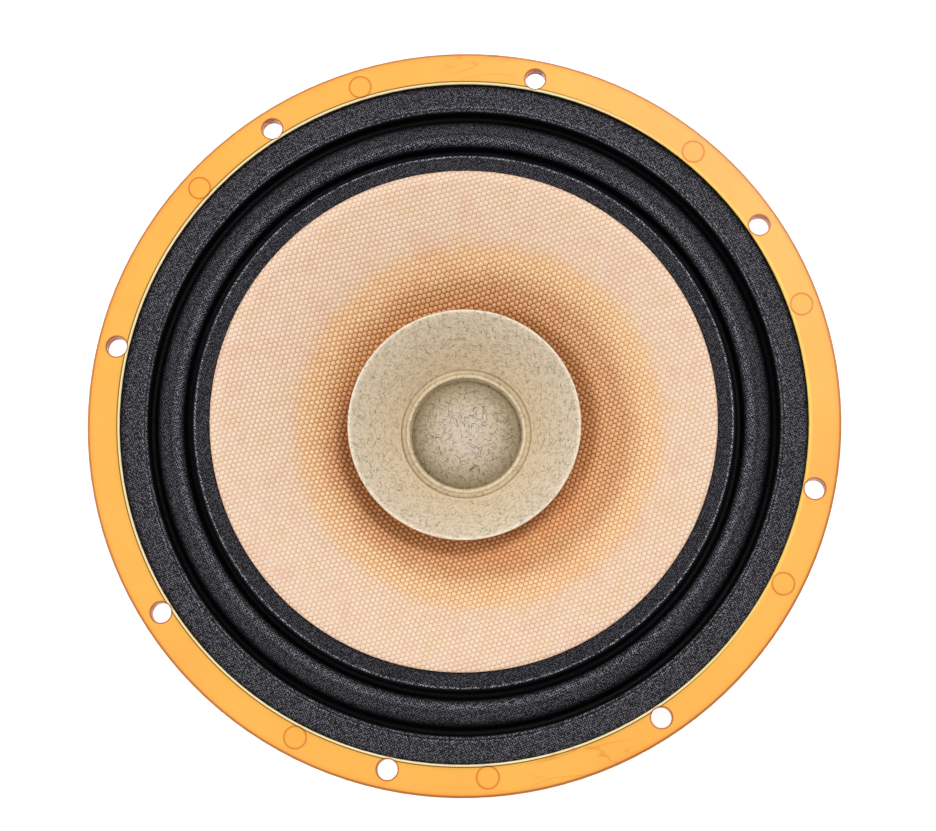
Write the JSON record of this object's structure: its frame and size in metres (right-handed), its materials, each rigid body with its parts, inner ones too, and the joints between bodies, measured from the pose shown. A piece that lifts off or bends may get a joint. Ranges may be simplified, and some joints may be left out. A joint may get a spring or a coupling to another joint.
{
  "type": "loudspeaker driver",
  "caption": "Round full-range loudspeaker driver with a woven cone, paper whizzer cone, cloth surround and translucent amber basket on a ring magnet.",
  "frame": {"origin": "centre of the circle of mounting holes, on the rear face of the flange that rests on the baffle", "axes": "+Z along the voice coil's axis out of the cone, +X along the mirror axis between two mounting holes, with the terminals on the -X side"},
  "size_m": [0.206, 0.206, 0.0874],
  "materials": {
    "amber_plastic": "injection-moulded, translucent, satin",
    "doped_cloth": "woven cotton with black damping coat",
    "woven_cone_fabric": "woven natural fibre stiffened with resin, browner towards the neck",
    "cone_paper": "felted pulp with short dark fibres",
    "cap_paper": "felted pulp with short dark fibres",
    "former_film": "amber polyimide film",
    "collar_paper": "varnished kraft paper",
    "coil_wire": "copper-clad aluminium wire under clear lacquer",
    "spider_cloth": "cotton cloth dipped in phenolic resin",
    "plated_steel": "turned steel with clear zinc plating",
    "ferrite": "ground sintered ferrite",
    "vent_mesh": "woven steel wire",
    "screw_steel": "zinc-plated",
    "laminated_paper": "phenolic paper laminate",
    "tinned_brass": "stamped and tin-plated",
    "rivet_brass": "nickel-plated",
    "tinsel_braid": "braided copper tinsel on a cotton core",
    "solder": "bright solder"
  },
  "bodies": {
    "frame": {"basket": "amber_plastic", "surround": "doped_cloth", "spider": "spider_cloth", "top_plate": "plated_steel", "magnet_ring": "ferrite", "back_plate": "plated_steel", "pole_piece": "plated_steel", "vent_mesh": "vent_mesh", "basket_screws": "screw_steel", "terminal_board": "laminated_paper", "terminal_plus": "tinned_brass", "terminal_minus": "tinned_brass", "terminal_rivets": "rivet_brass", "board_rivet": "rivet_brass", "tinsel_lead_plus": "tinsel_braid", "tinsel_lead_minus": "tinsel_braid", "lead_joints_tags": "solder"},
    "moving_assembly": {"cone": "woven_cone_fabric", "whizzer_cone": "cone_paper", "dust_cap": "cap_paper", "coil_former": "former_film", "former_collar": "collar_paper", "coil_winding": "coil_wire", "lead_joints_former": "solder"}
  },
  "joints": [
    {"name": "cone_travel", "type": "slide", "parent": "frame", "child": "moving_assembly", "axis": [0, 0, 1], "range_m": [-0.004, 0.004], "stiffness_N_per_m": 1000, "deforming": ["surround", "spider", "tinsel_lead_plus", "tinsel_lead_minus"]}
  ]
}
